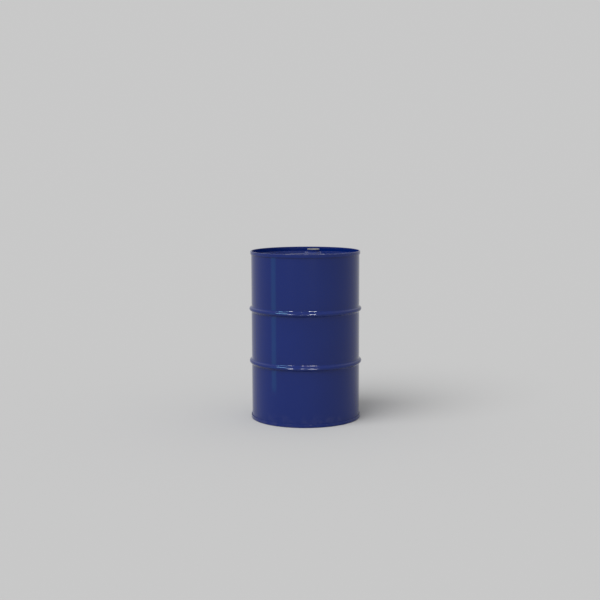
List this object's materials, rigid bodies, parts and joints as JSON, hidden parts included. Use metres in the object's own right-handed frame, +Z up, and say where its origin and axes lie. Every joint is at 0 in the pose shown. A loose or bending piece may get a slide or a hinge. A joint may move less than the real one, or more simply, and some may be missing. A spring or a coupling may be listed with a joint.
{
  "type": "tight-head steel drum",
  "caption": "Closed-head steel drum with rolling hoops, double-seamed chimes and screw-in bung and vent plugs, for storing and moving hazardous liquids.",
  "frame": {"origin": "on the drum's axis, in the plane of the bottom chime that it stands on", "axes": "+Z up along the drum's axis; +Y from the axis towards the 2-inch bung; +X to the right, seen with the bung at the back"},
  "size_m": [0.597, 0.597, 0.892],
  "materials": {
    "blue_enamel": "glossy dark blue enamel",
    "zinc_plate": "bright zinc plating",
    "gasket_rubber": "matte black synthetic rubber",
    "seam_compound": "matte tan sealing compound"
  },
  "bodies": {
    "drum": {"body_shell": "blue_enamel", "top_head": "blue_enamel", "bottom_head": "blue_enamel", "top_seam_compound": "seam_compound", "bottom_seam_compound": "seam_compound", "bung_flange_2in": "zinc_plate", "bung_flange_gasket": "gasket_rubber", "vent_flange_3_4in": "zinc_plate", "vent_flange_gasket": "gasket_rubber"},
    "bung_lift": {"bung_plug_gasket": "gasket_rubber"},
    "bung_plug": {"bung_plug_2in": "zinc_plate"},
    "vent_lift": {"vent_plug_gasket": "gasket_rubber"},
    "vent_plug": {"vent_plug_3_4in": "zinc_plate"}
  },
  "joints": [
    {"name": "bung_lift", "type": "slide", "parent": "drum", "child": "bung_lift", "axis": [0, 0, 1], "range_m": [0, 0.0266]},
    {"name": "bung_turn", "type": "hinge", "parent": "bung_lift", "child": "bung_plug", "pos_m": [0, 0.215, 0.882], "axis": [0, 0, 1], "range_deg": [0, 4320]},
    {"name": "vent_lift", "type": "slide", "parent": "drum", "child": "vent_lift", "axis": [0, 0, 1], "range_m": [0, 0.0273]},
    {"name": "vent_turn", "type": "hinge", "parent": "vent_lift", "child": "vent_plug", "pos_m": [0, -0.228, 0.882], "axis": [0, 0, 1], "range_deg": [0, 5400]}
  ],
  "couplings": [
    {"joint": "bung_lift", "follows": "bung_turn", "m_per_rad": 0.00035152},
    {"joint": "vent_lift", "follows": "vent_turn", "m_per_rad": 0.00028875}
  ]
}
